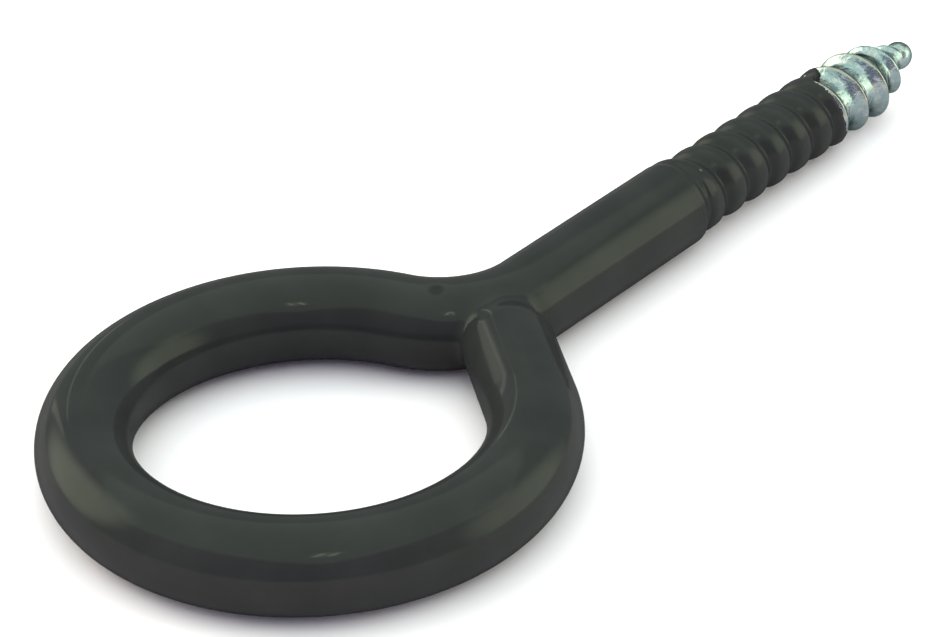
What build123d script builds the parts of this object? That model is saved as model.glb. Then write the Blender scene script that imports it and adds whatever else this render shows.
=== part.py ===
from build123d import *
from math import atan2, cos, degrees, radians, sin, sqrt, tan
import os

# Screw eye: one steel wire, bent to a closed ring and threaded at the other end, then dipped in vinyl
# from the ring to part way down the thread. The vinyl is bonded to the wire, so the two are one solid.
# Frame: origin at the eye's centre, in the plane of the wire; +X along the shank to the point; +Z up.

# Wire and its coat
wire_diameter = 8.0
skin = 0.4  # vinyl on the plain wire

# Ring, neck and shank
eye_inside = 31.8  # clear opening of the dipped eye
ring_angle = 304.0  # how far the wire goes round, in degrees
bend_radius = 10.3  # reverse bend, on the wire's centre line, that brings the ring to the shank
shank_offset = 1.25  # the shank's axis passes this far to the -Y side of the eye's centre
shank_end = 53.2  # end of the plain shank, from the eye's centre
shoulder_length = 1.5
shoulder_depth = 0.7
closing_gap = 0.15  # between the cut end of the wire and the neck

# Thread: coarse, right-handed wood thread with a gimlet point
pitch = 3.63
thread_diameter = 7.9
root_diameter = 5.6
flank_angle = 60.0  # between the two flanks of a bare ridge
run_in = 3.7  # the first crest that faces +Y is this far inside the plain shank
parallel_length = 30.4  # from the end of the shank to the start of the taper
taper_angle = 16.5  # of the root and the crests, to the axis
point_length = 9.0
stub_diameter = 2.8  # blunt stub that ends the point
stub_length = 2.4
stub_clearance = 0.2  # between the ridge's end and the stub

# Vinyl over the thread: thin on the crests and pooled between them
crest_skin = 0.1
root_skin = 0.68
dipped_flank_angle = 110.0  # wider than the bare one, as the vinyl rounds the ridges off
dipped_length = 24.5  # of the thread that the vinyl covers

# Derived sizes
rod_radius = wire_diameter / 2 + skin
ring_radius = eye_inside / 2 + rod_radius
neck_y = bend_radius - shank_offset
neck_x = sqrt((ring_radius + bend_radius) ** 2 - neck_y**2)
neck_angle = degrees(atan2(neck_y, neck_x))
end_angle = neck_angle + ring_angle
bare_root = root_diameter / 2
bare_crest = thread_diameter / 2
dipped_root = bare_root + root_skin
dipped_crest = bare_crest + crest_skin
taper_slope = tan(radians(taper_angle))
footing = 0.4  # how far a ridge is sunk into the bar that carries it

# The wire's end runs on straight from the ring until its corner is the closing gap off the neck
ring_end = Vector(ring_radius * cos(radians(end_angle)), ring_radius * sin(radians(end_angle)))
heading = Vector(-sin(radians(end_angle)), cos(radians(end_angle)))
outward = Vector(heading.Y, -heading.X)
corner = ring_end - outward * rod_radius - Vector(neck_x, neck_y)
along = corner.dot(heading)
reach = bend_radius + rod_radius + closing_gap
closing_length = -along - sqrt(along**2 - corner.dot(corner) + reach**2)


def ridge_section(helix, height, angle):
    """Section of a ridge, square to its helix: x runs outward from the root, y towards the point."""
    start = helix @ 0
    foot = (height + footing) * tan(radians(angle / 2))
    with BuildSketch(Plane(origin=start, x_dir=(start.X, start.Y, 0), z_dir=helix % 0)) as section:
        with BuildLine():
            Polyline((-footing, -foot), (height, 0), (-footing, foot), close=True)
        make_face()
    return section.sketch


# Dipped wire: cut end, ring, neck and shank in one sweep
with BuildPart() as dipped_wire:
    with BuildLine() as path:
        Line(ring_end + heading * closing_length, ring_end)
        CenterArc((0, 0), ring_radius, end_angle, -ring_angle)
        CenterArc((neck_x, neck_y), bend_radius, neck_angle + 180, 90 - neck_angle)
        Line((neck_x, -shank_offset), (shank_end, -shank_offset))
    wire = path.wire()
    with BuildSketch(Plane(origin=wire @ 0, x_dir=outward, z_dir=wire % 0)):
        with BuildLine():
            CenterArc((0, 0), rod_radius, 0, 180)
            CenterArc((0, 0), rod_radius, 180, 180)
        make_face()
    sweep(path=wire)
    shoulder = dipped_wire.faces().filter_by(GeomType.PLANE).sort_by(Axis.X)[-1]
    chamfer(shoulder.edges(), shoulder_length, shoulder_depth)

# The thread is made upright on its own axis, with the crest at height 0 facing +X
dip_height = run_in + dipped_length
taper_height = run_in + parallel_length
tip_height = taper_height + point_length

with BuildPart() as dipped_thread:
    with BuildLine():
        dipped_helix = Helix(pitch, dip_height + pitch / 2, dipped_root)
    sweep(
        ridge_section(dipped_helix, dipped_crest - dipped_root, dipped_flank_angle),
        path=dipped_helix,
        is_frenet=True,
    )
    Cylinder(dipped_root, dip_height + pitch, align=(Align.CENTER, Align.CENTER, Align.MIN))
    split(bisect_by=Plane.XY.offset(dip_height), keep=Keep.BOTTOM)

# Bare thread, from a turn or so inside the dipped one to the start of the taper
bare_start = (dip_height // pitch - 1) * pitch
with BuildPart() as bare_thread:
    with BuildLine():
        bare_helix = Helix(pitch, taper_height + pitch / 2 - bare_start, bare_root, center=(0, 0, bare_start))
    sweep(ridge_section(bare_helix, bare_crest - bare_root, flank_angle), path=bare_helix, is_frenet=True)
    with Locations((0, 0, bare_start - pitch)):
        bar_length = taper_height + 2 * pitch - bare_start
        Cylinder(bare_root, bar_length, align=(Align.CENTER, Align.CENTER, Align.MIN))
    split(bisect_by=Plane.XY.offset(taper_height), keep=Keep.BOTTOM)

# Gimlet point: the same ridge on a cone that starts a turn or so below the taper, then a blunt stub
cone_start = (taper_height // pitch - 1) * pitch
cone_radius = bare_root + (taper_height - cone_start) * taper_slope
stub_radius = stub_diameter / 2
stub_start = tip_height - stub_length
cone_end_radius = cone_radius - (stub_start - cone_start) * taper_slope
ridge_half_width = (bare_crest - bare_root + footing) * tan(radians(flank_angle / 2))
with BuildPart() as gimlet_point:
    with BuildLine():
        cone_helix = Helix(
            pitch,
            stub_start - stub_clearance - ridge_half_width - cone_start,
            cone_radius,
            center=(0, 0, cone_start),
            cone_angle=-taper_angle,
        )
    sweep(ridge_section(cone_helix, bare_crest - bare_root, flank_angle), path=cone_helix, is_frenet=True)
    with BuildSketch(Plane.XZ):
        with BuildLine():
            Polyline(
                (0, cone_start - pitch),
                (cone_radius + pitch * taper_slope, cone_start - pitch),
                (cone_end_radius, stub_start),
                (stub_radius, stub_start),
                (stub_radius, tip_height),
                (0, tip_height),
                close=True,
            )
        make_face()
    revolve(axis=Axis.Z)
    split(bisect_by=Plane.XY.offset(taper_height), keep=Keep.TOP)

with BuildPart() as screw_eye:
    add(dipped_wire.part)
    with Locations(Plane(origin=(shank_end - run_in, -shank_offset, 0), x_dir=(0, 1, 0), z_dir=(1, 0, 0))):
        add(gimlet_point.part)
        add(bare_thread.part)
        add(dipped_thread.part)
screw_eye.part.label = "screw_eye"

os.makedirs("parts", exist_ok=True)
export_step(screw_eye.part, "parts/screw_eye.step")
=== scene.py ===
"""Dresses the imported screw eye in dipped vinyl, with the bare plated thread coming out of it."""

from __future__ import annotations

import logging
import math
from dataclasses import dataclass
from enum import Enum
from typing import Any

import bpy
import bmesh
import numpy as np
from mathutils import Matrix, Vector

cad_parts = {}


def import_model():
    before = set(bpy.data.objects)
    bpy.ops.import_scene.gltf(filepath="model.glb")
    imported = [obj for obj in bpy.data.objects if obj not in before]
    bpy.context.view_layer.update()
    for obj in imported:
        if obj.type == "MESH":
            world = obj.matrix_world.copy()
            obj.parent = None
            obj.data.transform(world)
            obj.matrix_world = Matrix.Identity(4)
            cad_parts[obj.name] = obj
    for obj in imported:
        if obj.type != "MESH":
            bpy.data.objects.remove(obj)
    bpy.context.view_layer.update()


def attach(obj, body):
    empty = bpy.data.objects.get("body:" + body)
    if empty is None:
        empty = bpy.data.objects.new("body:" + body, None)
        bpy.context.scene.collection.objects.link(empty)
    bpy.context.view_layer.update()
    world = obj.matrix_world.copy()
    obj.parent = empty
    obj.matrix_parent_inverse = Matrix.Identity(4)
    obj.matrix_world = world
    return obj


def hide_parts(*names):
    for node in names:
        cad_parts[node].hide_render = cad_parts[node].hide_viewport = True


LOG = logging.getLogger("screw_eye")
Array = np.ndarray
Pair = tuple[float, float]
Triple = tuple[float, float, float]
Object = bpy.types.Object
Material = bpy.types.Material
Socket = bpy.types.NodeSocket
Inputs = dict[str | int, Any]

MM = 0.001
FULL_TURN = 2 * math.pi
FAR = 1e3  # a distance in millimetres that no piece reaches
WELD = 2e-6  # points closer than this many metres are one
FIRST_OR_LAST = 1e-4  # share of the rows that only the first or the last row lies in
NOISE_GAIN = 3.0  # brings noise to about -1 to 1
FLAT_CREASE = math.radians(50.0)  # edges sharper than this stay sharp
THREAD_CREASE = math.radians(70.0)


class Look(Enum):
    """The named finishes of the screw eye."""

    VINYL = "vinyl"
    PLATE = "plate"


# ---- Small maths and meshes shared by the pieces ----


def eased(x: Array) -> Array:
    """Goes from 0 to 1 with level ends, and is held there."""
    x = np.clip(x, 0.0, 1.0)
    return x * x * (3.0 - 2.0 * x)


def looking_back(azimuth: float, elevation: float, roll: float) -> tuple[Vector, Vector, Vector]:
    """Directions for a light or camera that looks back at the screw eye.

    Args:
        azimuth: where it stands, in degrees about Z from +X.
        elevation: its height over the floor, in degrees.
        roll: how far it is turned about its line of sight, in degrees.

    Returns:
        Its right, its up, and the way from the screw eye to it.
    """
    a, e, t = (math.radians(v) for v in (azimuth, elevation, roll))
    away = Vector((math.cos(e) * math.cos(a), math.cos(e) * math.sin(a), math.sin(e)))
    level = Vector((-math.sin(a), math.cos(a), 0.0))
    rise = away.cross(level)
    right = math.cos(t) * level + math.sin(t) * rise
    return right, math.cos(t) * rise - math.sin(t) * level, away


def stand(
    name: str, data: bpy.types.ID, axes: tuple[Vector, ...], place: Vector | Triple
) -> Object:
    """Puts a light or camera in the scene.

    Args:
        name: name of the object.
        data: the light or camera.
        axes: its right, its up and its back.
        place: where it stands, in millimetres.

    Returns:
        The object.
    """
    obj = bpy.data.objects.new(name, data)
    matrix = obj.matrix_world.copy()
    for k in range(3):
        matrix[k] = (*(axis[k] for axis in axes), place[k] * MM)
    obj.matrix_world = matrix
    bpy.context.scene.collection.objects.link(obj)
    return obj


def mesh_object(name: str, verts: Array, faces: list, smooth: bool = True) -> Object:
    """Makes a mesh object at the origin.

    Args:
        name: name of the object and its mesh.
        verts: corner points in millimetres.
        faces: corner numbers of each face.
        smooth: whether faces are shaded smooth, but for creases.

    Returns:
        The new object, linked to the scene.
    """
    mesh = bpy.data.meshes.new(name)
    mesh.from_pydata((verts * MM).tolist(), [], [tuple(int(i) for i in f) for f in faces])
    mesh.validate()
    mesh.update()
    if smooth:
        mesh.polygons.foreach_set("use_smooth", np.ones(len(mesh.polygons), dtype=bool))
        mesh.set_sharp_from_angle(angle=FLAT_CREASE)
    obj = bpy.data.objects.new(name, mesh)
    bpy.context.scene.collection.objects.link(obj)
    return obj


def outward(obj: Object) -> None:
    """Turns the faces of a closed mesh outwards.

    Args:
        obj: the mesh object.
    """
    work = bmesh.new()
    work.from_mesh(obj.data)
    bmesh.ops.recalc_face_normals(work, faces=work.faces)
    work.to_mesh(obj.data)
    work.free()
    obj.data.update()


def tube_faces(rows: int, cols: int, first: int) -> list[list[int]]:
    """Quads of a tube whose rows run along it and whose columns close around it.

    Args:
        rows: number of rings of points.
        cols: number of points in a ring.
        first: number of the first point.

    Returns:
        Four corner numbers for each quad.
    """
    i, j = np.meshgrid(np.arange(rows - 1), np.arange(cols), indexing="ij")
    a = first + i * cols + j
    b = first + i * cols + (j + 1) % cols
    return np.stack([a, b, b + cols, a + cols], -1).reshape(-1, 4).tolist()


def zipped(one: Array, two: Array, turn_one: Array, turn_two: Array) -> list[list[int]]:
    """Triangles that join two rings of points around the same axis, whatever their counts.

    Args:
        one: numbers of the first ring's points.
        two: numbers of the second ring's points.
        turn_one: angle of each point of the first ring, in radians.
        turn_two: angle of each point of the second ring.

    Returns:
        Three corner numbers for each triangle.
    """
    rings = []
    for ring, turns in ((one, turn_one), (two, turn_two)):
        order = np.argsort(turns)
        ring, turns = ring[order].tolist(), turns[order].tolist()
        rings.append((ring + ring[:1], turns + [turns[0] + FULL_TURN]))
    (one, turn_one), (two, turn_two) = rings
    faces, i, j = [], 0, 0
    while i < len(one) - 1 or j < len(two) - 1:
        if j == len(two) - 1 or (i < len(one) - 1 and turn_one[i + 1] < turn_two[j + 1]):
            faces.append([one[i], one[i + 1], two[j]])
            i += 1
        else:
            faces.append([one[i], two[j + 1], two[j]])
            j += 1
    return faces


# ---- Node trees, written with short calls ----


class Wiring:
    """A node tree, with one call for each node that is added to it."""

    def __init__(self, tree: bpy.types.NodeTree) -> None:
        """Takes over a tree."""
        self.tree = tree

    def feed(self, node: bpy.types.Node, inputs: Inputs) -> None:
        """Sets or joins the inputs of a node.

        Args:
            node: the node.
            inputs: values or sockets, by the input's name or number.
        """
        for key, value in inputs.items():
            if isinstance(value, Socket):
                self.tree.links.new(value, node.inputs[key])
            else:
                node.inputs[key].default_value = value

    def add(self, kind: str, inputs: Inputs, **settings: str | bool) -> bpy.types.Node:
        """Adds a node.

        Args:
            kind: the node's type.
            inputs: values or sockets, by the input's name or number.
            settings: the node's own settings, such as its operation.

        Returns:
            The node.
        """
        node = self.tree.nodes.new(kind)
        for key, value in settings.items():
            setattr(node, key, value)
        self.feed(node, inputs)
        return node

    def spread(
        self, value: Socket, span: Pair, to: Pair = (0.0, 1.0), ease: str = "SMOOTHSTEP"
    ) -> Socket:
        """Maps a number from one span to another, in a shader tree.

        Args:
            value: the number.
            span: the span that it comes from.
            to: the span that it goes to, where it is held.
            ease: how it goes from end to end.

        Returns:
            The mapped number.
        """
        inputs = {"Value": value, "From Min": span[0], "From Max": span[1]}
        inputs |= {"To Min": to[0], "To Max": to[1]}
        return self.add("ShaderNodeMapRange", inputs, interpolation_type=ease).outputs[0]


def named_sizes(*records: object) -> dict[str, float]:
    """Names the lengths and shares of records as a rule's inputs, such as Taper Start."""
    pairs = (pair for record in records for pair in vars(record).items())
    return {k.replace("_", " ").title(): v for k, v in pairs if isinstance(v, float)}


class Formula:
    """A number in a node tree, so that a rule can be written as a formula."""

    def __init__(self, wiring: Wiring, socket: Socket) -> None:
        """Wraps an output socket of a tree."""
        self.wiring = wiring
        self.socket = socket

    def _math(self, operation: str, *others: Formula | float, clamp: bool = False) -> Formula:
        """Adds a Math node.

        Args:
            operation: name of the node's operation.
            others: the inputs after this one.
            clamp: whether the result is held between 0 and 1.

        Returns:
            The result.
        """
        inputs = dict(enumerate(getattr(v, "socket", v) for v in (self, *others)))
        node = self.wiring.add("ShaderNodeMath", inputs, operation=operation, use_clamp=clamp)
        return Formula(self.wiring, node.outputs[0])

    def __add__(self, other: Formula | float) -> Formula:
        """The sum of two numbers."""
        return self._math("ADD", other)

    def __sub__(self, other: Formula | float) -> Formula:
        """This number less another."""
        return self._math("SUBTRACT", other)

    def __mul__(self, other: Formula | float) -> Formula:
        """The product of two numbers."""
        return self._math("MULTIPLY", other)

    def __truediv__(self, other: Formula | float) -> Formula:
        """This number divided by another."""
        return self._math("DIVIDE", other)

    def held(self) -> Formula:
        """This number, held between 0 and 1."""
        return self._math("ADD", 0.0, clamp=True)

    def rest(self) -> Formula:
        """What is missing to 1."""
        return self * -1.0 + 1.0

    def at_least(self, other: Formula | float) -> Formula:
        """The larger of two numbers."""
        return self._math("MAXIMUM", other)

    def at_most(self, other: Formula | float) -> Formula:
        """The smaller of two numbers."""
        return self._math("MINIMUM", other)

    def above(self, other: Formula | float) -> Formula:
        """1 where this is more than the other number, else 0."""
        return self._math("GREATER_THAN", other)

    def sin(self) -> Formula:
        """The sine of an angle in radians."""
        return self._math("SINE")

    def cos(self) -> Formula:
        """The cosine of an angle in radians."""
        return self._math("COSINE")

    def exp(self) -> Formula:
        """The exponential."""
        return self._math("EXPONENT")

    def root(self) -> Formula:
        """The square root."""
        return self._math("SQRT")

    def eased(self) -> Formula:
        """This number, held between 0 and 1 and eased at both ends."""
        t = self.held()
        return t * t * (t * -2.0 + 3.0)

    def towards(self, other: Formula | float, share: Formula) -> Formula:
        """A blend: this number at share 0, the other at share 1."""
        return self * share.rest() + share * other


class RuleTree(Wiring):
    """A geometry node tree that lays a closed skin of points around the X axis by a rule."""

    def __init__(self, name: str, sizes: dict[str, float], rows: int, columns: int) -> None:
        """Starts the tree with its named inputs.

        Args:
            name: name of the tree.
            sizes: named lengths and shares, each with its value.
            rows: number of points along the axis.
            columns: number of points around it, where the last meets the first.
        """
        super().__init__(bpy.data.node_groups.new(name, "GeometryNodeTree"))
        self.values: dict[str, float | int] = {**sizes, "Rows": rows, "Columns": columns}
        self.identifiers: dict[str, str] = {}
        panel = self.tree.interface
        panel.new_socket("Geometry", in_out="INPUT", socket_type="NodeSocketGeometry")
        for key, value in self.values.items():
            kind = "NodeSocketInt" if isinstance(value, int) else "NodeSocketFloat"
            socket = panel.new_socket(key, in_out="INPUT", socket_type=kind)
            self.identifiers[key] = socket.identifier
        finish = panel.new_socket("Material", in_out="INPUT", socket_type="NodeSocketMaterial")
        self.identifiers["Material"] = finish.identifier
        panel.new_socket("Geometry", in_out="OUTPUT", socket_type="NodeSocketGeometry")
        self.given = self.tree.nodes.new("NodeGroupInput").outputs
        counts = {"Vertices X": self.given["Rows"], "Vertices Y": self.given["Columns"]}
        self.grid = self.add("GeometryNodeMeshGrid", counts)
        place = self.tree.nodes.new("GeometryNodeInputPosition")
        split = self.add("ShaderNodeSeparateXYZ", {0: place.outputs[0]})
        self.along = Formula(self, split.outputs["X"]) + 0.5
        self.last = self.along.above(1.0 - FIRST_OR_LAST)
        self.turn = (Formula(self, split.outputs["Y"]) + 0.5) * FULL_TURN

    def size(self, key: str) -> Formula:
        """A named input as a number in formulas."""
        return Formula(self, self.given[key])

    def past(self, value: Formula, start: str, length: str) -> Formula:
        """How far a number is past one named input, in lengths of another."""
        return (value - self.size(start)) / self.size(length)

    def phase(self, x: Formula) -> Formula:
        """Angle past the thread's last crest, in radians, of a point at x along the axis."""
        return self.past(x, "First Crest", "Pitch") * FULL_TURN - self.turn

    def ridge(self, x: Formula) -> Formula:
        """The bare thread's ridge at x: 1 on a crest, down to about 0 at the root."""
        return ((self.phase(x).cos() - 1.0) * self.size("Sharpness")).exp()

    def curve(self, points: tuple[Pair, ...], low: float, high: float) -> Formula:
        """A smooth line through points around the axis.

        Args:
            points: pairs of an angle in degrees, from 0 to 360, and the value there.
            low: the least value that the line can take.
            high: the greatest value that the line can take.

        Returns:
            The value at each turn about the axis.
        """
        share = self.turn / FULL_TURN
        node = self.add("ShaderNodeFloatCurve", {"Value": share.socket})
        stops = node.mapping.curves[0].points
        for _ in points[2:]:
            stops.new(0.5, 0.5)
        for stop, (angle, value) in zip(stops, points):
            stop.location = (angle / 360.0, (value - low) / (high - low))
        node.mapping.update()
        return Formula(self, node.outputs[0]) * (high - low) + low

    def noise(self, scale: float, seed: float) -> Formula:
        """A smooth wobble around the axis.

        Args:
            scale: bumps in the radius of a unit circle.
            seed: picks the wobble.

        Returns:
            The wobble at each turn about the axis, from about -1 to 1.
        """
        circle = {"X": self.turn.cos().socket, "Y": self.turn.sin().socket, "Z": seed}
        joined = self.add("ShaderNodeCombineXYZ", circle)
        inputs = {"Vector": joined.outputs[0], "Scale": scale, "Detail": 2.0}
        node = self.add("ShaderNodeTexNoise", inputs)
        return (Formula(self, node.outputs[0]) - 0.5) * NOISE_GAIN

    def build(
        self, name: str, x: Formula, radius: Formula, lift: Formula | None, material: Material
    ) -> Object:
        """Places the points, closes the skin and makes it a plain mesh.

        The first and last row shrink to a point on the axis, which droops on the way to the tip.

        Args:
            name: name of the object.
            x: place of each point along the axis, in millimetres.
            radius: its distance from the axis, in millimetres.
            lift: how far the axis is lifted again, in millimetres.
            material: finish of the skin.

        Returns:
            The mesh object, with no modifier left on it.
        """
        size = self.size
        droop = self.past(x, "Droop Start", "Droop Length").eased() * size("Droop")
        droop = droop - lift if lift else droop
        radius = radius * (self.along.above(FIRST_OR_LAST) - self.last)
        parts = (x, radius * self.turn.cos() - size("Offset"), radius * self.turn.sin() - droop)
        joined = self.add("ShaderNodeCombineXYZ", {k: (v * MM).socket for k, v in enumerate(parts)})
        link = self.grid.outputs["Mesh"]
        for kind, inputs in (
            ("GeometryNodeSetPosition", {"Position": joined.outputs[0]}),
            ("GeometryNodeMergeByDistance", {"Distance": WELD}),
            ("GeometryNodeSetShadeSmooth", {}),
            ("GeometryNodeRealizeInstances", {}),
            ("GeometryNodeSetMaterial", {"Material": self.given["Material"]}),
        ):
            link = self.add(kind, {0: link, **inputs}).outputs[0]
        self.add("NodeGroupOutput", {0: link})
        holder = bpy.data.objects.new(name, bpy.data.meshes.new(name))
        bpy.context.scene.collection.objects.link(holder)
        modifier = holder.modifiers.new("Rule", "NODES")
        modifier.node_group = self.tree
        for key, value in (*self.values.items(), ("Material", material)):
            modifier[self.identifiers[key]] = value
        bpy.context.view_layer.update()
        finished = holder.evaluated_get(bpy.context.evaluated_depsgraph_get())
        mesh = bpy.data.meshes.new_from_object(finished)
        holder.modifiers.clear()
        holder.data = mesh
        mesh.name = name
        outward(holder)
        mesh.set_sharp_from_angle(angle=THREAD_CREASE)
        return holder


class Paint(Wiring):
    """A material that is being made, read in object coordinates."""

    def __init__(self, name: str) -> None:
        """Starts a plain material.

        Args:
            name: the material's name.
        """
        self.material = bpy.data.materials.new(name)
        self.material.use_nodes = True
        super().__init__(self.material.node_tree)
        self.shader = self.tree.nodes["Principled BSDF"]
        self.place = self.tree.nodes.new("ShaderNodeTexCoord").outputs["Object"]

    def along(self, axis: str) -> Socket:
        """One of the coordinates X, Y and Z, in metres."""
        return self.add("ShaderNodeSeparateXYZ", {0: self.place}).outputs[axis]

    def noise(self, scale: float, detail: float, roughness: float = 0.5) -> Socket:
        """Smooth noise from 0 to 1, with so many bumps in a metre and so many finer layers."""
        inputs = {"Vector": self.place, "Scale": scale, "Detail": detail, "Roughness": roughness}
        return self.add("ShaderNodeTexNoise", inputs).outputs[0]

    def ramp(
        self, share: Socket, stops: tuple[tuple[float, Triple], ...], line: str
    ) -> Socket:
        """A line of colours.

        Args:
            share: where on the line.
            stops: places on the line in rising order, each with its colour.
            line: how the colours go from stop to stop.

        Returns:
            The colour.
        """
        node = self.add("ShaderNodeValToRGB", {0: share})
        node.color_ramp.interpolation = line
        marks = node.color_ramp.elements
        marks[0].position, marks[1].position = stops[0][0], stops[-1][0]
        for place, _ in stops[1:-1]:
            marks.new(place)
        for mark, (_, colour) in zip(marks, stops):
            mark.color = (*colour, 1.0)
        return node.outputs[0]

    def bump(self, height: Socket, strength: float, depth: float) -> None:
        """Roughens the surface.

        Args:
            height: the height at each place, from 0 to 1.
            strength: share of the bump that shows.
            depth: how high 1 is, in millimetres.
        """
        inputs = {"Height": height, "Strength": strength, "Distance": depth * MM}
        node = self.add("ShaderNodeBump", inputs)
        self.feed(self.shader, {"Normal": node.outputs[0]})


# ---- Finishes ----


@dataclass(frozen=True)
class Vinyl:
    """Soft dip coat of dark charcoal vinyl, glossier on the plain wire than on the thread."""

    colour: Triple = (0.0219, 0.0214, 0.0229)
    mottle: Pair = (0.9, 1.12)  # darkest and lightest share of the colour
    mottle_range: Pair = (0.35, 0.7)  # noise values that give them
    mottle_scale: float = 180.0
    mottle_detail: float = 4.0
    roughness: Pair = (0.11, 0.2)  # on the plain wire, and on the thread
    duller: Pair = (50.5, 56.0)  # mm along the wire, from the one to the other
    shine: float = 0.12
    shine_tint: Triple = (0.97, 1.0, 0.82)
    fading: tuple[Pair, ...] = (  # share of the shine as the skin turns edge-on
        (0.0, 1.0), (0.3, 0.65), (0.5, 0.3), (0.68, 0.06), (0.8, 0.0),
    )
    wave_scale: float = 260.0
    wave_strength: float = 0.17
    wave_depth: float = 0.05
    speck_core: float = 0.4  # share of a speck's radius that has its full strength
    specks: tuple[tuple[Triple, float, float], ...] = (  # place and radius in mm, brightness; the last entry darkens the dimple as painted shade
        ((53.92, -3.1, 3.57), 0.27, 5.0),
        ((54.6, -2.2, 3.9), 0.16, 2.5),
        ((77.47, 1.05, 2.48), 0.28, 20.0),
        ((76.6, -1.2, 3.7), 0.14, 3.0),
        # painted shade: the dimple's colour is darkened to half, where shade falls in the recess
        ((20.4, 2.3, 4.3), 1.0, 0.5),
    )

    def spotted(self, paint: Paint) -> Socket:
        """Specks of dust, and painted shade darkening the dimple.

        Args:
            paint: the material that they are added to.

        Returns:
            A factor on the colour, more than 1 on dust and less in the dimple, where it paints
            shade.
        """
        factor: Socket | float = 1.0
        for point, radius, strength in self.specks:
            inputs = {0: paint.place, 1: tuple(v * MM for v in point)}
            away = paint.add("ShaderNodeVectorMath", inputs, operation="DISTANCE")
            span = (radius * MM, radius * self.speck_core * MM)
            near = paint.spread(away.outputs["Value"], span)
            inputs = {0: near, 1: strength - 1.0, 2: factor}
            factor = paint.add("ShaderNodeMath", inputs, operation="MULTIPLY_ADD").outputs[0]
        return factor

    def material(self) -> Material:
        """Builds the material: fine unevenness, a faint mottle, a few specks of dust and painted
        shade in the dimple.

        Returns:
            The material.
        """
        paint = Paint("dipped_vinyl")
        lean = paint.add("ShaderNodeLayerWeight", {"Blend": 0.5})
        stops = tuple((place, (share * self.shine,) * 3) for place, share in self.fading)
        satin = paint.ramp(lean.outputs["Facing"], stops, "B_SPLINE")
        start, end = self.duller
        rough = paint.spread(paint.along("X"), (start * MM, end * MM), self.roughness)
        shades = [tuple(share * c for c in self.colour) for share in self.mottle]
        noise = paint.noise(self.mottle_scale, self.mottle_detail)
        mottle = paint.ramp(noise, tuple(zip(self.mottle_range, shades)), "LINEAR")
        # the factor lightens the dust specks and paints shade into the dimple
        inputs = {0: mottle, "Scale": self.spotted(paint)}
        colour = paint.add("ShaderNodeVectorMath", inputs, operation="SCALE")
        inputs = {"Base Color": colour.outputs[0], "Roughness": rough}
        inputs |= {"Specular IOR Level": satin, "Specular Tint": (*self.shine_tint, 1.0)}
        paint.feed(paint.shader, inputs)
        paint.bump(paint.noise(self.wave_scale, 1.0), self.wave_strength, self.wave_depth)
        return paint.material


@dataclass(frozen=True)
class ZincPlate:
    """Bright zinc plate in faint blue and straw patches, with a painted warm highlight on the upper
    crests.
    """

    blue: Triple = (0.195, 0.25, 0.262)
    straw: Triple = (0.36, 0.36, 0.35)
    edge: Triple = (0.2, 0.24, 0.23)
    worn: Triple = (0.26, 0.2, 0.14)
    axis: Pair = (1.25, 0.24)  # the thread's axis runs this far below the origin
    crest: Pair = (3.72, 3.9)  # mm from the axis, from plain to the painted highlight
    upper: Pair = (-1.0, 2.2)  # height in mm over which the painted highlight grows
    wear: float = 0.55
    patch_scale: float = 1300.0
    patch_roughness: float = 0.65
    patch_range: Pair = (0.45, 0.7)  # noise values of pure blue and straw
    detail: float = 4.0
    roughness: Pair = (0.14, 0.3)
    mark_scale: float = 2100.0
    mark_strength: float = 0.75
    mark_depth: float = 0.12

    def crests(self, paint: Paint) -> Socket:
        """Finds the crests on the upper side of the thread, where a warm highlight is painted.

        Args:
            paint: the material that gets the painted highlight.

        Returns:
            The share of painted highlight, from 0 to 1.
        """
        side, down = self.axis
        inputs = {0: paint.place, 1: (0.0, 1.0, 1.0), 2: (0.0, side * MM, down * MM)}
        level = paint.add("ShaderNodeVectorMath", inputs, operation="MULTIPLY_ADD")
        away = paint.add("ShaderNodeVectorMath", {0: level.outputs[0]}, operation="LENGTH")
        rim = paint.spread(away.outputs["Value"], tuple(v * MM for v in self.crest))
        span = tuple(v * MM for v in self.upper)
        high = paint.spread(paint.along("Z"), span, (0.0, self.wear), "LINEAR")
        return (Formula(paint, rim) * Formula(paint, high)).socket

    def material(self) -> Material:
        """Builds the material: metal with tint patches, a painted warm highlight on the upper
        crests, a varied gloss and fine die marks.

        Returns:
            The material.
        """
        paint = Paint("zinc_plate")
        patches = paint.noise(self.patch_scale, self.detail, self.patch_roughness)
        tint = paint.ramp(patches, tuple(zip(self.patch_range, (self.blue, self.straw))), "LINEAR")
        # painted highlight: a warm colour blended onto the crests of the upper side
        inputs = {"A": tint, "B": (*self.worn, 1.0), "Factor": self.crests(paint)}
        colour = paint.add("ShaderNodeMix", inputs, data_type="RGBA").outputs["Result"]
        gloss = paint.spread(patches, (0.0, 1.0), self.roughness, "LINEAR")
        inputs = {"Base Color": colour, "Metallic": 1.0, "Roughness": gloss}
        paint.feed(paint.shader, inputs | {"Specular Tint": (*self.edge, 1.0)})
        marks = paint.noise(self.mark_scale, self.detail)
        paint.bump(marks, self.mark_strength, self.mark_depth)
        return paint.material


# ---- The pieces ----


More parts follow.
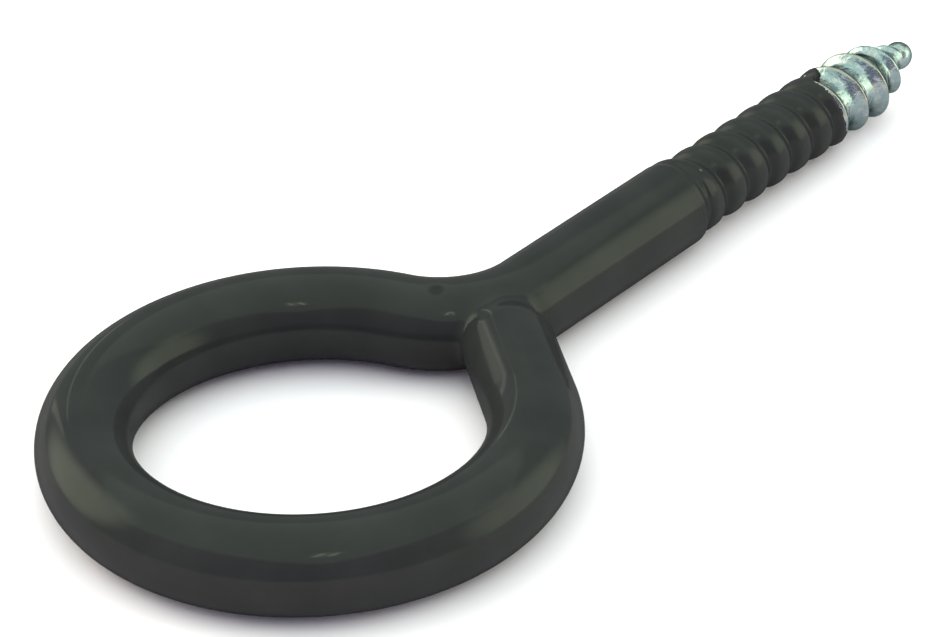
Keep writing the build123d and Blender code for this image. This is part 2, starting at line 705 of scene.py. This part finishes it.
@dataclass(frozen=True)
class Wire:
    """The run of the dipped wire, in millimetres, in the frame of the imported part."""

    radius: float = 4.4
    ring: float = 20.3
    bend: float = 10.3
    offset: float = 1.25
    ring_angle: float = math.radians(304.0)

    @property
    def bend_centre(self) -> Array:
        """Centre of the reverse bend."""
        y = self.bend - self.offset
        return np.array([math.sqrt((self.ring + self.bend) ** 2 - y * y), y, 0.0])

    @property
    def neck_angle(self) -> float:
        """Where the ring meets the reverse bend, as an angle about the eye's centre."""
        x, y, _ = self.bend_centre
        return math.atan2(y, x)

    @property
    def end_angle(self) -> float:
        """Where the ring's arc ends and its straight free end begins."""
        return self.neck_angle + self.ring_angle

    @property
    def end_heading(self) -> Array:
        """The way that the free end runs on from the ring."""
        return np.array([-math.sin(self.end_angle), math.cos(self.end_angle), 0.0])

    def on_ring(self, angle: Array | float) -> Array:
        """Points of the ring's centre line at some angles in radians, one a row."""
        angle = np.asarray(angle, float)
        return np.stack([self.ring * np.cos(angle), self.ring * np.sin(angle), 0 * angle], -1)


@dataclass(frozen=True)
class Thread:
    """The bare thread in millimetres, whose axis droops on the way to the point."""

    offset: float = 1.25
    first_crest: float = 49.03
    pitch: float = 3.63
    root: float = 2.95
    crest: float = 3.93
    sharpness: float = 1.7
    droop_start: float = 58.0
    droop_length: float = 26.0
    droop: float = 0.26


@dataclass(frozen=True)
class Junction:
    """The coat around the closed neck: the wire's free end webbed to the bend, in millimetres."""

    wire: Wire = Wire()
    end_length: float = 12.9
    end_round: float = 3.6
    neck_side: float = 2.0  # radians; the ring up to here belongs to the neck
    web: float = 1.3
    top_web: float = 2.3
    web_from: float = 1.0  # height at which the web starts to widen
    web_over: float = 3.0
    pit_place: Triple = (20.52, 2.42, 4.35)
    pit_radius: float = 0.7
    pit_depth: float = 0.16
    box_low: Triple = (5.0, -24.0, -5.6)
    box_high: Triple = (38.0, 23.0, 5.6)
    cell: float = 0.22
    slope_step: float = 1e-3
    least_slope: float = 0.2  # square of the least slope that a step reckons with
    settling: int = 5
    cut_low: float = math.radians(300.0)
    cut_high: float = math.radians(48.0)
    cut_shank: float = 35.0
    on_cut: float = 1e-4
    cut_slack: float = 1e-5

    def neck(self, p: Array) -> Array:
        """Distance from the ring's start, the reverse bend and the shank, with the small pit.

        Args:
            p: points in millimetres, one a row.

        Returns:
            One distance a point, negative inside.
        """
        w = self.wire
        x, y, z = p.T
        angle, ring = np.arctan2(y, x), np.hypot(np.hypot(x, y) - w.ring, z)
        ring = np.where((angle > w.neck_angle) & (angle < self.neck_side), ring, FAR)
        bend_x, bend_y = x - w.bend_centre[0], y - w.bend_centre[1]
        bent = np.arctan2(bend_y, bend_x)
        in_bend = (bent < -math.pi / 2) & (bent > w.neck_angle - math.pi)
        bend = np.where(in_bend, np.hypot(np.hypot(bend_x, bend_y) - w.bend, z), FAR)
        shank = np.where(bend_x >= 0, np.hypot(y + w.offset, z), FAR)
        pit = np.linalg.norm(p - np.array(self.pit_place), axis=1) / self.pit_radius
        bar = np.minimum(np.minimum(ring, bend), shank) - w.radius
        return bar + self.pit_depth * np.exp(-pit * pit)

    def free_end(self, p: Array) -> Array:
        """Distance from the ring's last stretch and its straight, rounded free end.

        Args:
            p: points in millimetres, one a row.

        Returns:
            One distance a point, negative inside.
        """
        w = self.wire
        x, y, z = p.T
        start = w.on_ring(w.end_angle)
        ahead = (p - start) @ w.end_heading
        side = np.linalg.norm(p - start - ahead[:, None] * w.end_heading, axis=1)
        across = side - (w.radius - self.end_round)
        beyond = ahead - (self.end_length - self.end_round)
        outside = np.hypot(np.maximum(across, 0), np.maximum(beyond, 0))
        end = outside + np.minimum(np.maximum(across, beyond), 0) - self.end_round
        ring = np.hypot(np.hypot(x, y) - w.ring, z) - w.radius
        ring = np.where(np.arctan2(y, x) < w.end_angle - FULL_TURN, ring, FAR)
        return np.where(ahead >= 0, end, ring)

    def distance(self, p: Array) -> Array:
        """Distance from the coated surface.

        Args:
            p: points in millimetres, one a row.

        Returns:
            One distance a point, negative inside, true near the surface and off the web.
        """
        neck, free = self.neck(p), self.free_end(p)
        widening = eased((p[:, 2] - self.web_from) / self.web_over)
        web = self.web + (self.top_web - self.web) * widening
        mix = np.maximum(web - np.abs(neck - free), 0) / web
        return np.minimum(neck, free) - mix * mix * web / 4

    def slope(self, p: Array) -> Array:
        """Gradient of the distance, by central differences.

        Args:
            p: points in millimetres, one a row.

        Returns:
            One gradient a point.
        """
        shifts = self.slope_step * np.eye(3)
        ways = [self.distance(p + shift) - self.distance(p - shift) for shift in shifts]
        return np.stack(ways, -1) / (2 * self.slope_step)

    def net(self) -> tuple[Array, Array]:
        """Nets the surface: a point in each cell that it crosses, a quad on each such edge.

        Returns:
            Points in millimetres, and quads that face outwards.
        """
        low, high = np.array(self.box_low), np.array(self.box_high)
        shape = np.ceil((high - low) / self.cell).astype(int)
        axes = [low[k] + self.cell * np.arange(shape[k]) for k in range(3)]
        grid = np.stack(np.meshgrid(*axes, indexing="ij"), -1)
        value = np.stack([self.distance(layer.reshape(-1, 3)) for layer in grid]).reshape(shape)
        count, total = np.zeros(shape - 1, int), np.zeros((*(shape - 1), 3))
        edges = []
        for axis in range(3):
            start, end = [slice(None)] * 3, [slice(None)] * 3
            start[axis], end[axis] = slice(None, -1), slice(1, None)
            one, two = value[tuple(start)], value[tuple(end)]
            crossed = (one < 0) != (two < 0)
            at, one, two = np.argwhere(crossed), one[crossed], two[crossed]
            point = low + self.cell * at
            point[:, axis] += self.cell * one / (one - two)
            u, v = np.roll(np.eye(3, dtype=int), -axis, axis=0)[1:]
            cells = [at - a * u - b * v for a, b in ((0, 0), (1, 0), (1, 1), (0, 1))]
            for cell in cells:
                within = ((cell >= 0) & (cell < shape - 1)).all(1)
                index = tuple(cell[within].T)
                np.add.at(count, index, 1)
                np.add.at(total, index, point[within])
            edges.append((cells, one < 0))
        used = count > 0
        number = np.zeros(count.shape, int)
        number[used] = np.arange(used.sum())
        verts, faces = total[used] / count[used][:, None], []
        for cells, solid in edges:
            within = np.all([((c >= 0) & (c < shape - 1)).all(1) for c in cells], axis=0)
            quad = np.stack([number[tuple(c[within].T)] for c in cells], -1)
            faces.append(np.where(solid[within][:, None], quad, quad[:, ::-1]))
        for _ in range(self.settling):
            g = self.slope(verts)
            steep = np.maximum((g * g).sum(1), self.least_slope)
            verts -= self.distance(verts)[:, None] * g / steep[:, None]
        return verts, np.concatenate(faces)

    def trimmed(self) -> tuple[Array, list[list[int]]]:
        """Cuts the net off square where the plain tubes take over.

        Returns:
            The points and faces that are left.
        """
        verts, faces = self.net()
        work = bmesh.new()
        points = [work.verts.new(v) for v in verts]
        for face in faces:
            if len(set(face)) == 4:
                work.faces.new([points[i] for i in face])
        low, high = self.cut_low, self.cut_high
        planes = (
            ((0, 0, 0), (-math.sin(high), math.cos(high), 0)),
            ((0, 0, 0), (math.sin(low), -math.cos(low), 0)),
            ((self.cut_shank, 0, 0), (1, 0, 0)),
        )
        for point, normal in planes:
            geom = work.verts[:] + work.edges[:] + work.faces[:]
            plane = {"plane_co": point, "plane_no": normal, "dist": self.cut_slack}
            bmesh.ops.bisect_plane(work, geom=geom, **plane, clear_outer=True)
        bmesh.ops.triangulate(work, faces=[f for f in work.faces if len(f.verts) > 4])
        work.verts.index_update()
        left = np.array([v.co[:] for v in work.verts])
        rings = [[v.index for v in f.verts] for f in work.faces]
        work.free()
        return left, rings

    def rim(self, verts: Array, cut: float | None) -> tuple[Array, Array]:
        """Finds the points that lie on one of the cuts.

        Args:
            verts: points of the trimmed net.
            cut: angle of a cut through the ring, or None for the cut through the shank.

        Returns:
            The points' numbers, and their angles around the wire in radians.
        """
        x, y, z = verts.T
        if cut is None:
            off, across = np.abs(x - self.cut_shank), y + self.wire.offset
        else:
            opposite = math.cos(cut) * x + math.sin(cut) * y < 0
            off = np.abs(math.cos(cut) * y - math.sin(cut) * x) + opposite * FAR
            across = self.wire.ring - np.hypot(x, y)
        found = np.where(off < self.on_cut)[0]
        return found, np.arctan2(z[found], across[found]) % FULL_TURN


@dataclass(frozen=True)
class VinylBar:
    """The coat over the ring, the closed neck and the plain shank, closed under the sleeve."""

    wire: Wire = Wire()
    junction: Junction = Junction()
    shank_end: float = 49.0
    columns: int = 96
    row_step: float = 0.45
    ring_rows: int = 188
    shank_rows: int = 24

    def tube(self, centres: Array, headings: Array) -> Array:
        """Points of a plain round tube along a flat path.

        Args:
            centres: points of the centre line.
            headings: unit directions of the path at those points.

        Returns:
            The tube's points, ring by ring.
        """
        turn = np.linspace(0, FULL_TURN, self.columns, endpoint=False)
        up = np.array([0.0, 0.0, 1.0])
        side = np.cross(up, headings)
        ring = np.cos(turn)[None, :, None] * side[:, None, :] + np.sin(turn)[None, :, None] * up
        return (centres[:, None, :] + self.wire.radius * ring).reshape(-1, 3)

    def build(self, material: Material) -> Object:
        """Joins two plain tubes to the junction's net.

        Args:
            material: finish of the coat.

        Returns:
            The piece.
        """
        w, net = self.wire, self.junction
        verts, faces = net.trimmed()
        gap = self.row_step / w.ring
        angle = np.linspace(net.cut_high + gap, net.cut_low - gap, self.ring_rows)
        headings = np.stack([-np.sin(angle), np.cos(angle), 0 * angle], -1)
        ring = self.tube(w.on_ring(angle), headings)
        x = np.linspace(net.cut_shank + self.row_step, self.shank_end, self.shank_rows)
        centres = np.stack([x, 0 * x - w.offset, 0 * x], -1)
        shank = self.tube(centres, np.tile([1.0, 0.0, 0.0], (len(x), 1)))
        first_ring, first_shank = len(verts), len(verts) + len(ring)
        hub = first_shank + len(shank)
        faces += tube_faces(len(angle), self.columns, first_ring)
        faces += tube_faces(len(x), self.columns, first_shank)
        last = hub - self.columns + np.arange(self.columns)
        faces += [[int(a), int(b), hub] for a, b in zip(last, np.roll(last, -1))]
        turn = np.linspace(0, FULL_TURN, self.columns, endpoint=False)
        firsts = (first_ring, first_shank - self.columns, first_shank)
        for cut, first in zip((net.cut_high, net.cut_low, None), firsts):
            numbers, turns = net.rim(verts, cut)
            faces += zipped(numbers, first + np.arange(self.columns), turns, turn)
        verts = np.concatenate([verts, ring, shank, [[self.shank_end, -w.offset, 0.0]]])
        whole = mesh_object("vinyl_ring_and_shank", verts, faces)
        whole.data.materials.append(material)
        outward(whole)
        return whole


@dataclass(frozen=True)
class VinylSleeve:
    """The coat over the thread, with broad crests and an uneven lip, in millimetres."""

    thread: Thread = Thread()
    start: float = VinylBar.shank_end
    shank_radius: float = Wire.radius
    coat_root: float = 3.38
    coat_crest: float = 4.02
    groove_sharpness: float = 1.2
    first_turn: float = 52.8  # the fuller first turn eases off from here
    first_turn_length: float = 2.2
    first_turn_fill: float = 0.28
    shoulder: float = 51.5
    shoulder_length: float = 2.3
    wrinkle: float = 0.026
    wrinkle_place: float = 52.4
    wrinkle_length: float = 1.5
    wrinkle_turn: float = math.radians(165.0)
    wrinkle_width: float = 0.75  # radians
    wrinkle_rate: float = 12.5  # radians for each millimetre along
    sway: float = 1.4
    sway_rate: float = 3.1
    sunk: float = 0.12  # depth of the coat's inner side under the bare thread
    side_begin: float = 0.0035  # shares of the rows
    lip_begin: float = 0.93
    lip_end: float = 0.996
    lip: float = 0.45
    seat: float = 77.0
    edge_wander: float = 0.12
    edge_tear: float = 0.26
    rows: int = 290
    columns: int = 241
    wander: Pair = (1.6, 3.1)  # scale and seed of the lip's slow bends
    tear: Pair = (15.0, 7.3)  # scale and seed of its small tears
    edge_range: Pair = (74.5, 80.0)
    edge: tuple[Pair, ...] = (  # angle in degrees, and where the coat ends
        (0.0, 79.2), (46.0, 79.0), (66.0, 78.4), (80.0, 76.9), (90.0, 75.7),
        (100.0, 75.3), (123.0, 75.4), (134.0, 75.5), (146.0, 75.65), (160.0, 75.8),
        (188.0, 76.2), (212.0, 76.7), (230.0, 77.1), (315.0, 78.6), (360.0, 79.2),
    )

    def build(self, material: Material) -> Object:
        """Makes the sleeve by a geometry node rule.

        Args:
            material: finish of the coat.

        Returns:
            The piece.
        """
        sizes = named_sizes(self.thread, self)
        rule = RuleTree("dipped_thread_rule", sizes, self.rows, self.columns)
        size, past, along, turn = rule.size, rule.past, rule.along, rule.turn
        edge = rule.curve(self.edge, *self.edge_range)
        edge = edge + rule.noise(*self.wander) * size("Edge Wander")
        edge = edge + rule.noise(*self.tear) * size("Edge Tear")
        side, lip = (
            ((along - size(begin)) / (size(end) - size(begin))).held()
            for begin, end in (("Side Begin", "Lip Begin"), ("Lip Begin", "Lip End"))
        )
        lip = lip * (math.pi / 2)
        x = size("Start") + (edge - size("Lip") - size("Start")) * side + size("Lip") * lip.sin()
        x = x.towards(size("Seat"), rule.last)

        sharp = size("Groove Sharpness")
        groove = ((rule.phase(x).cos() * -1.0 - 1.0) * sharp).exp()
        wave = groove.rest() / (sharp * -2.0).exp().rest()
        fill = past(x, "First Turn", "First Turn Length").eased().rest() * size("First Turn Fill")
        dipped = size("Coat Root") + (size("Coat Crest") + fill - size("Coat Root")) * wave
        bare = size("Root") + (size("Crest") - size("Root")) * rule.ridge(x)
        begun = past(x, "Shoulder", "Shoulder Length").eased()
        outer = size("Shank Radius").towards(dipped, begun)

        near = past(x, "Wrinkle Place", "Wrinkle Length")
        aside = past(turn, "Wrinkle Turn", "Wrinkle Width")
        creased = (near * near * -1.0 - aside * aside).exp() * size("Wrinkle")
        sway = (turn * size("Sway Rate")).sin() * size("Sway")
        outer = outer + (x * size("Wrinkle Rate") + sway).sin() * creased
        inner = bare.at_most(outer) - size("Sunk")
        radius = inner + (outer - inner) * lip.cos()
        return rule.build("vinyl_thread_sleeve", x, radius, None, material)


@dataclass(frozen=True)
class PlatedThread:
    """The bare end of the thread and its gimlet point, bright under the lip of the coat."""

    thread: Thread = Thread()
    start: float = 70.0
    tip: float = 92.35
    taper_start: float = 84.2
    taper_slope: float = 0.336
    neck: float = 1.15
    end_length: float = 0.6
    ridge_end: float = 90.5
    ridge_ebb: float = 1.6
    button: float = 1.48
    button_depth: float = 1.55
    rise_start: float = 87.5
    rise_length: float = 3.2
    rise: float = 0.27
    rows: int = 300
    columns: int = 181
    body_rows: float = 0.92  # share of the rows before the rounded end
    body_reach: float = 0.937  # share of the length that those rows cover

    def build(self, material: Material) -> Object:
        """Makes the thread by a geometry node rule.

        Args:
            material: finish of the thread.

        Returns:
            The piece.
        """
        sizes = named_sizes(self.thread, self)
        rule = RuleTree("bare_thread_rule", sizes, self.rows, self.columns)
        size, past, rows = rule.size, rule.past, rule.size("Body Rows")
        body = (rule.along / rows).held() * size("Body Reach")
        nose = ((rule.along - rows) / rows.rest()).held() * (math.pi / 2)
        share = body + nose.sin() * size("Body Reach").rest()
        x = size("Start") + (size("Tip") - size("Start")) * share

        narrowed = (x - size("Taper Start")).at_least(0.0) * size("Taper Slope")
        inner = (size("Root") - narrowed).at_least(size("Neck"))
        outer = (size("Crest") - narrowed).at_least(inner)
        ebb = (past(x, "Ridge End", "Ridge Ebb") * -1.0).eased()
        thread = inner + (outer - inner) * rule.ridge(x) * ebb
        reach = past(x, "Tip", "Button Depth") + 1.0
        button = size("Button") * (reach * reach).rest().at_least(0.0).root()
        closing = (past(x, "Tip", "End Length") * -1.0).held().root()
        radius = (thread * closing).at_least(button)
        rise = past(x, "Rise Start", "Rise Length").eased() * size("Rise")
        return rule.build("plated_thread", x, radius, rise, material)


# ---- The set ----


@dataclass(frozen=True)
class Panel:
    """A flat soft light: where it stands as seen from the screw eye, its size and brightness."""

    name: str
    azimuth: float
    elevation: float
    distance: float
    width: float
    height: float
    radiance: float
    roll: float = 0.0
    tint: Triple = (0.95, 1.0, 0.8)


@dataclass(frozen=True)
class Glow:
    """A soft-edged patch of the room that is lighter or darker than the rest."""

    azimuth: float
    elevation: float
    core: float
    reach: float
    change: Triple


@dataclass(frozen=True)
class Studio:
    """Pale floor, soft light and the camera, in millimetres and degrees."""

    middle: Triple = (25.0, 0.0, 0.0)
    floor_z: float = -4.4
    floor_half: float = 2500.0
    floor_colour: Triple = (0.95, 0.84, 0.93)
    floor_roughness: float = 0.9
    floor_shine: float = 0.1
    eye: Triple = (-204.775, -196.330, 189.728)
    azimuth: float = 220.786
    elevation: float = 32.154
    roll: float = -1.615
    lens: float = 144.6
    sensor: float = 36.0
    clip: Pair = (0.01, 20.0)  # metres
    room: Triple = (0.66, 0.77, 0.73)
    glows: tuple[Glow, ...] = (
        Glow(222.0, 12.0, 26.0, 70.0, (-0.16, -0.27, -0.10)),
        Glow(315.0, 12.0, 4.0, 37.0, (3.2, 3.6, 2.6)),
        Glow(108.0, 22.0, 4.0, 33.0, (5.0, 5.1, 3.9)),
    )
    panels: tuple[Panel, ...] = (
        Panel("overhead_panel", 0.0, 90.0, 600.0, 1200.0, 1200.0, 1.36, 0.0, (0.83, 1.0, 0.86)),
        Panel("outer_strip", 62.5, 18.5, 1000.0, 34.0, 440.0, 2.6, -27.0),
        Panel("inner_strip", 79.0, 15.5, 600.0, 34.0, 250.0, 2.4, -6.0),
        Panel("left_tube", 224.4, 56.6, 4000.0, 560.0, 50.0, 26.0, 70.4),
        Panel("right_tube", 232.4, 56.0, 4000.0, 520.0, 50.0, 26.0, 64.3),
    )

    def floor(self) -> Object:
        """A wide pale floor that the screw eye lies on.

        Returns:
            The floor.
        """
        corners = ((-1, -1), (1, -1), (1, 1), (-1, 1))
        verts = [(u * self.floor_half, v * self.floor_half, self.floor_z) for u, v in corners]
        obj = mesh_object("floor", np.array(verts), [[0, 1, 2, 3]], smooth=False)
        paint = Paint("floor_white")
        inputs = {"Base Color": (*self.floor_colour, 1.0), "Roughness": self.floor_roughness}
        paint.feed(paint.shader, inputs | {"Specular IOR Level": self.floor_shine})
        obj.data.materials.append(paint.material)
        return obj

    def light(self, panel: Panel) -> None:
        """Adds a soft light that points at the screw eye.

        Args:
            panel: the light's place, size and brightness.
        """
        data = bpy.data.lights.new(panel.name, "AREA")
        data.shape = "RECTANGLE"
        data.size, data.size_y = panel.width * MM, panel.height * MM
        data.energy = math.pi * data.size * data.size_y * panel.radiance
        data.color = panel.tint
        axes = looking_back(panel.azimuth, panel.elevation, panel.roll)
        stand(panel.name, data, axes, panel.distance * axes[2] + Vector(self.middle))

    def camera(self) -> None:
        """Places the camera by its two angles and its roll."""
        data = bpy.data.cameras.new("camera")
        data.lens, data.sensor_width = self.lens, self.sensor
        data.clip_start, data.clip_end = self.clip
        axes = looking_back(self.azimuth, self.elevation, self.roll)
        bpy.context.scene.camera = stand("camera", data, axes, self.eye)

    def surroundings(self) -> bpy.types.World:
        """A pale room with two soft lights at its sides, darker where the camera stands.

        Returns:
            The world.
        """
        world = bpy.data.worlds.new("studio")
        world.use_nodes = True
        sky = Wiring(world.node_tree)
        coords = sky.add("ShaderNodeTexCoord", {})
        colour: Socket | Triple = self.room
        for glow in self.glows:
            inputs = {0: coords.outputs["Generated"]}
            inputs[1] = looking_back(glow.azimuth, glow.elevation, 0.0)[2]
            facing = sky.add("ShaderNodeVectorMath", inputs, operation="DOT_PRODUCT")
            span = (math.cos(math.radians(glow.reach)), math.cos(math.radians(glow.core)))
            edge = sky.spread(facing.outputs["Value"], span, ease="SMOOTHERSTEP")
            inputs = {0: edge, 1: glow.change, 2: colour}
            added = sky.add("ShaderNodeVectorMath", inputs, operation="MULTIPLY_ADD")
            colour = added.outputs["Vector"]
        sky.feed(world.node_tree.nodes["Background"], {"Color": colour})
        return world

    def build(self) -> Object:
        """Lights the set.

        Returns:
            The floor.
        """
        bpy.context.scene.world = self.surroundings()
        bpy.context.scene.view_settings.view_transform = "Standard"
        for panel in self.panels:
            self.light(panel)
        self.camera()
        return self.floor()


def main() -> None:
    """Builds the screw eye and its set, piece by piece."""
    logging.basicConfig(level=logging.INFO, format="%(message)s")
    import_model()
    looks = {Look.VINYL: Vinyl().material(), Look.PLATE: ZincPlate().material()}
    skin = [piece.build(looks[Look.VINYL]) for piece in (VinylBar(), VinylSleeve())]
    steel = PlatedThread().build(looks[Look.PLATE])
    for piece in (*skin, steel):
        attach(piece, "root")
        LOG.info("%s: %d faces", piece.name, len(piece.data.polygons))
    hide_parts("screw_eye")
    Studio().build()


if __name__ == "__main__":
    main()
